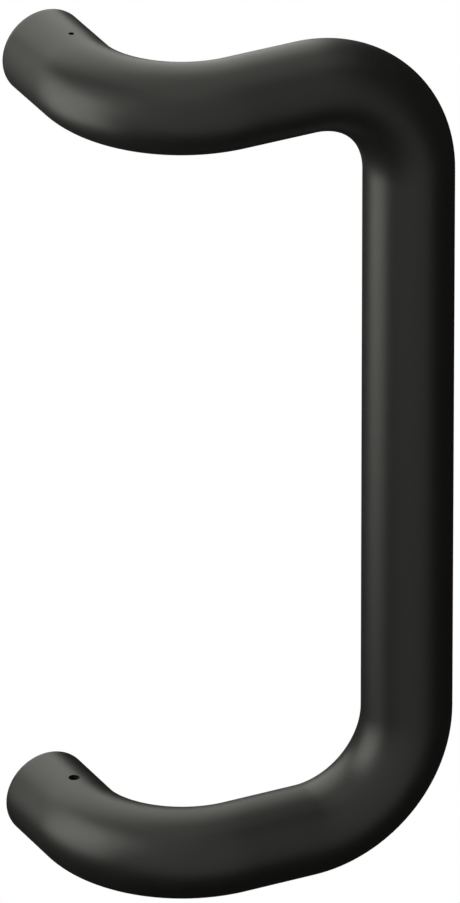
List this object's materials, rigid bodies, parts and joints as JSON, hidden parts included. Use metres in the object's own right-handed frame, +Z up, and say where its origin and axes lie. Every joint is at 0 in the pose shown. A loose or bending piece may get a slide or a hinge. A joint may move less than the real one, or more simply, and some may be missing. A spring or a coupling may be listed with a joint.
{
  "type": "door pull handle",
  "caption": "Round-bar offset door pull: its feet stand off the door, then the bar turns sideways and upright into a grip, held on studs in the feet and locked by set screws.",
  "frame": {"origin": "on the door's face, midway between the axes of the two feet", "axes": "+X from the feet towards the grip, +Y into the door, +Z up along the grip"},
  "size_m": [0.1106, 0.0648, 0.254],
  "materials": {
    "black_coat": "fine matte black powder coat",
    "black_oxide_steel": "satin black oxide"
  },
  "bodies": {
    "root": {"pull_bar": "black_coat", "set_screws": "black_oxide_steel"}
  },
  "joints": []
}
